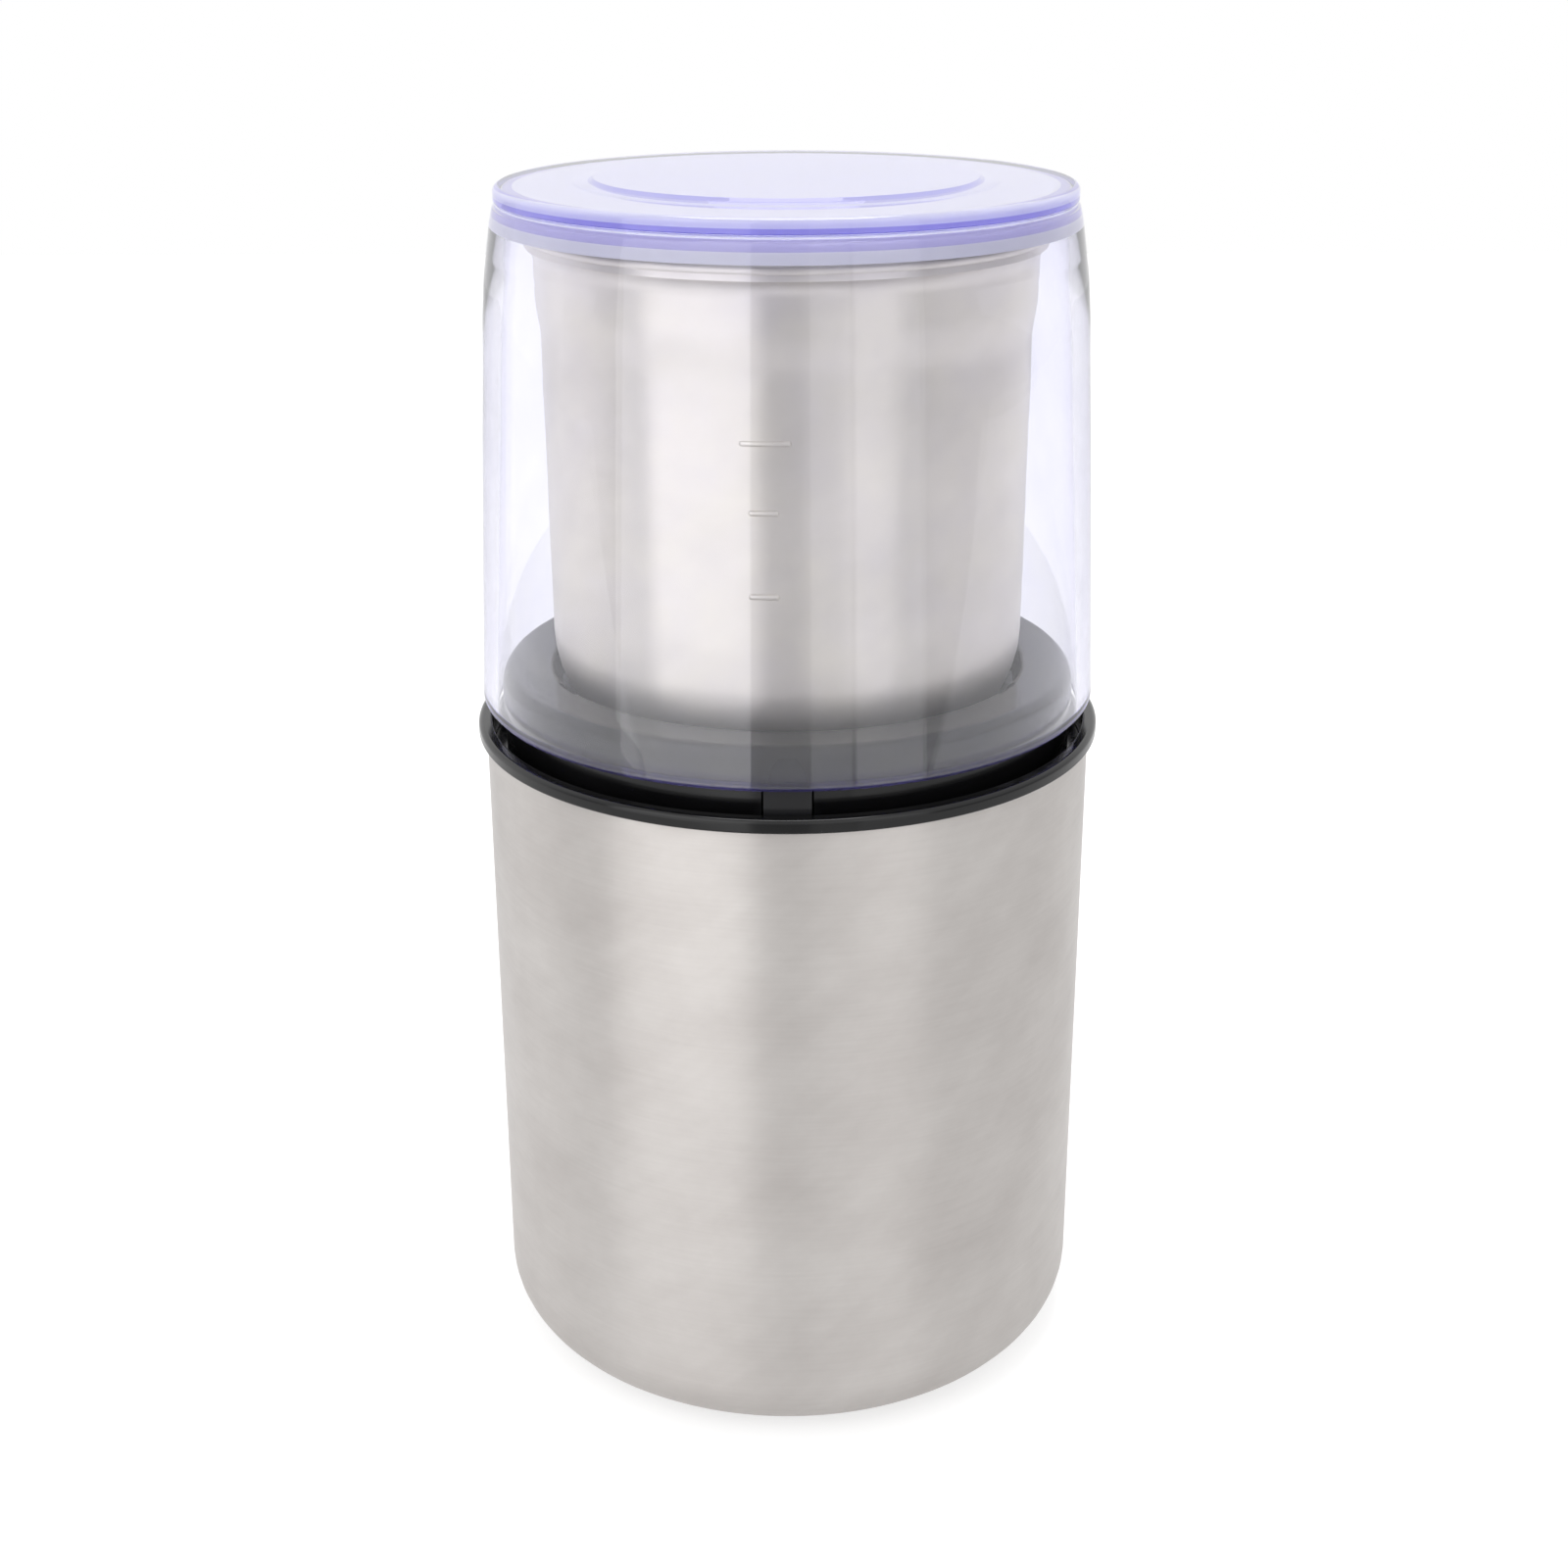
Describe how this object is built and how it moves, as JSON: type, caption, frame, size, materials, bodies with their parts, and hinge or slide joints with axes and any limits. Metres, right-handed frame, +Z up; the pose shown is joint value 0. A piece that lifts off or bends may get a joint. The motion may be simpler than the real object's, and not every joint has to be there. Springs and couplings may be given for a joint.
{
  "type": "electric spice grinder",
  "caption": "Upright electric spice grinder: satin steel motor base, lift-out steel cup with a spinning blade, and a clear lid pressed down to run it.",
  "frame": {"origin": "centre of the grinder's foot, on the surface it stands on", "axes": "+Z up along the grinder's axis, -Y towards the front, where one push post shows below the lid; the cord leaves towards +Y"},
  "size_m": [0.103, 0.103, 0.199],
  "materials": {
    "sleeve_steel": "satin brushed stainless steel sheet, drawn",
    "cup_steel": "satin drawn stainless steel",
    "gloss_black": "glossy moulded black ABS",
    "dark_plastic": "moulded dark ABS, fine matt texture",
    "clear_lid": "clear moulded plastic with a faint violet tint",
    "foot_rubber": "soft matt rubber",
    "mount_rubber": "soft matt rubber",
    "seal_rubber": "red-brown silicone rubber",
    "screw_steel": "zinc-plated steel",
    "die_cast": "die-cast aluminium",
    "sintered_bronze": "oil-filled sintered bronze",
    "lamination_steel": "varnished steel laminations",
    "copper_wire": "enamelled copper winding",
    "copper_bar": "turned copper",
    "brass_tube": "pressed brass",
    "carbon": "pressed carbon",
    "spring_steel": "bright spring wire",
    "switch_plastic": "moulded phenolic switch case",
    "switch_red": "moulded red plastic",
    "lever_steel": "pressed spring steel",
    "shaft_steel": "ground steel",
    "coupling_nylon": "natural nylon",
    "blade_steel": "ground stainless steel",
    "fan_plastic": "moulded dark nylon"
  },
  "bodies": {
    "base": {"outer_sleeve": "sleeve_steel", "trim_ring": "gloss_black", "seat_collar": "gloss_black", "housing_liner": "dark_plastic", "base_cover": "dark_plastic", "rubber_feet": "foot_rubber", "base_screws": "screw_steel", "collar_screws": "screw_steel", "cord_gland": "mount_rubber", "motor_plate": "die_cast", "motor_mounts": "mount_rubber", "motor_screws": "screw_steel", "upper_bearing": "sintered_bronze", "lower_bearing": "sintered_bronze", "lower_bracket": "die_cast", "stator_core": "lamination_steel", "stator_coils": "copper_wire", "stator_bolts": "screw_steel", "brush_holders": "brass_tube", "carbon_brushes": "carbon", "brush_springs": "spring_steel", "switch_body": "switch_plastic"},
    "pusher": {"push_ring": "gloss_black", "push_springs": "spring_steel"},
    "switch_arm": {"switch_lever": "lever_steel"},
    "switch_plunger": {"switch_button": "switch_red"},
    "rotor": {"motor_shaft": "shaft_steel", "armature_core": "lamination_steel", "armature_winding": "copper_wire", "commutator": "copper_bar", "cooling_fan": "fan_plastic", "drive_coupling": "coupling_nylon"},
    "cup": {"grinding_cup": "cup_steel", "cup_base": "dark_plastic", "hub_nut": "shaft_steel", "hub_seal": "foot_rubber", "cup_bearing": "sintered_bronze", "shaft_seal": "seal_rubber"},
    "cutter": {"driven_coupling": "coupling_nylon", "thrust_washer": "shaft_steel", "blade_shaft": "shaft_steel", "blade_spacer": "shaft_steel", "blade": "blade_steel", "blade_nut": "shaft_steel"},
    "lid": {"lid": "clear_lid"}
  },
  "joints": [
    {"name": "lid_press", "type": "slide", "parent": "base", "child": "pusher", "axis": [0, 0, 1], "range_m": [-0.0035, 0], "stiffness_N_per_m": 1200, "springref_m": 0.004, "deforming": ["push_springs"]},
    {"name": "lid_lift", "type": "slide", "parent": "pusher", "child": "lid", "axis": [0, 0, 1], "range_m": [0, 0.2]},
    {"name": "cup_lift", "type": "slide", "parent": "base", "child": "cup", "axis": [0, 0, 1], "range_m": [0, 0.06]},
    {"name": "motor_spin", "type": "hinge", "parent": "base", "child": "rotor", "pos_m": [0, 0, 0.0575], "axis": [0, 0, 1], "continuous": true},
    {"name": "blade_spin", "type": "hinge", "parent": "cup", "child": "cutter", "pos_m": [0, 0, 0.1125], "axis": [0, 0, 1], "continuous": true},
    {"name": "lever_swing", "type": "hinge", "parent": "base", "child": "switch_arm", "pos_m": [-0.008, 0.0426, 0.0797], "axis": [0, 1, 0], "range_deg": [0, 15.5]},
    {"name": "button_travel", "type": "slide", "parent": "base", "child": "switch_plunger", "axis": [0, 0, 1], "range_m": [-0.000875, 0]}
  ],
  "couplings": [
    {"joint": "cup_lift", "follows": "lid_lift", "ratio": 0.3},
    {"joint": "blade_spin", "follows": "motor_spin", "ratio": 1},
    {"joint": "lever_swing", "follows": "lid_press", "rad_per_m": -76.8},
    {"joint": "button_travel", "follows": "lid_press", "ratio": 0.25}
  ]
}
